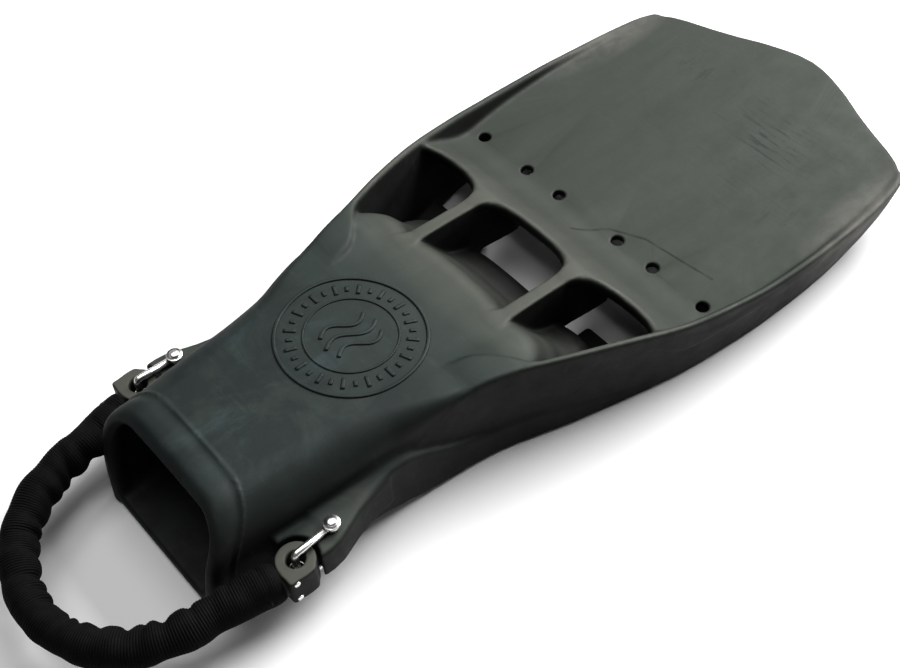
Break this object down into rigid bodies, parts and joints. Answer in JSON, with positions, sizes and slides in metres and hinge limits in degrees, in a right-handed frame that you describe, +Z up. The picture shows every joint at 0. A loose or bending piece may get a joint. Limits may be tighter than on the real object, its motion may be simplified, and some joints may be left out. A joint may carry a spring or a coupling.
{
  "type": "swim fin",
  "caption": "Open-heel vented rubber swim fin with side rails, a full foot pocket and a sleeved coil-spring heel strap on swivelling steel links.",
  "frame": {"origin": "on the floor under the middle of the whole fin, heel strap included", "axes": "+Y along the fin towards the blade tip, +X to the wearer's right, +Z up; the fin lies on its sole and rails"},
  "size_m": [0.273, 0.7072, 0.0897],
  "materials": {
    "fin_rubber": "satin, scuffed, dusty on the raised faces",
    "strap_rubber": "satin",
    "sleeve_fabric": "ribbed nylon, gathered",
    "polished_steel": "polished stainless",
    "rivet_steel": "satin stainless",
    "spring_steel": "bright drawn wire"
  },
  "bodies": {
    "fin": {"pocket_upper": "fin_rubber", "toe_cap": "fin_rubber", "pocket_lip": "fin_rubber", "sole_plate": "fin_rubber", "vent_ramp": "fin_rubber", "emblem_ring": "fin_rubber", "vent_bridge": "fin_rubber", "blade_panel": "fin_rubber", "rail_left": "fin_rubber", "rail_right": "fin_rubber", "vent_rib_left": "fin_rubber", "vent_rib_right": "fin_rubber", "strap_lug_left": "fin_rubber", "strap_lug_right": "fin_rubber", "lug_pin_left": "polished_steel", "lug_pin_right": "polished_steel"},
    "link_left": {"link_left": "polished_steel"},
    "link_right": {"link_right": "polished_steel"},
    "strap": {"strap_end_left": "strap_rubber", "strap_end_right": "strap_rubber", "end_rivets_left": "rivet_steel", "end_rivets_right": "rivet_steel", "spring_hook_left": "spring_steel", "spring_hook_right": "spring_steel", "sleeve_left": "sleeve_fabric", "sleeve_right": "sleeve_fabric", "spring_left": "spring_steel", "spring_right": "spring_steel"},
    "strap_rear": {"sleeve_rear": "sleeve_fabric", "spring_rear": "spring_steel"}
  },
  "joints": [
    {"name": "link_left_swivel", "type": "hinge", "parent": "fin", "child": "link_left", "pos_m": [-0.084, -0.18025, 0.038], "axis": [0, 0, 1], "range_deg": [-3, 3]},
    {"name": "link_right_swivel", "type": "hinge", "parent": "fin", "child": "link_right", "pos_m": [0.084, -0.18025, 0.038], "axis": [0, 0, 1], "range_deg": [-3, 3]},
    {"name": "strap_rock", "type": "hinge", "parent": "fin", "child": "strap", "pos_m": [0, -0.20925, 0.038], "axis": [-1, 0, 0], "range_deg": [-8, 8]},
    {"name": "strap_stretch", "type": "slide", "parent": "strap", "child": "strap_rear", "axis": [0, -1, 0], "range_m": [0, 0.05], "stiffness_N_per_m": 600}
  ]
}
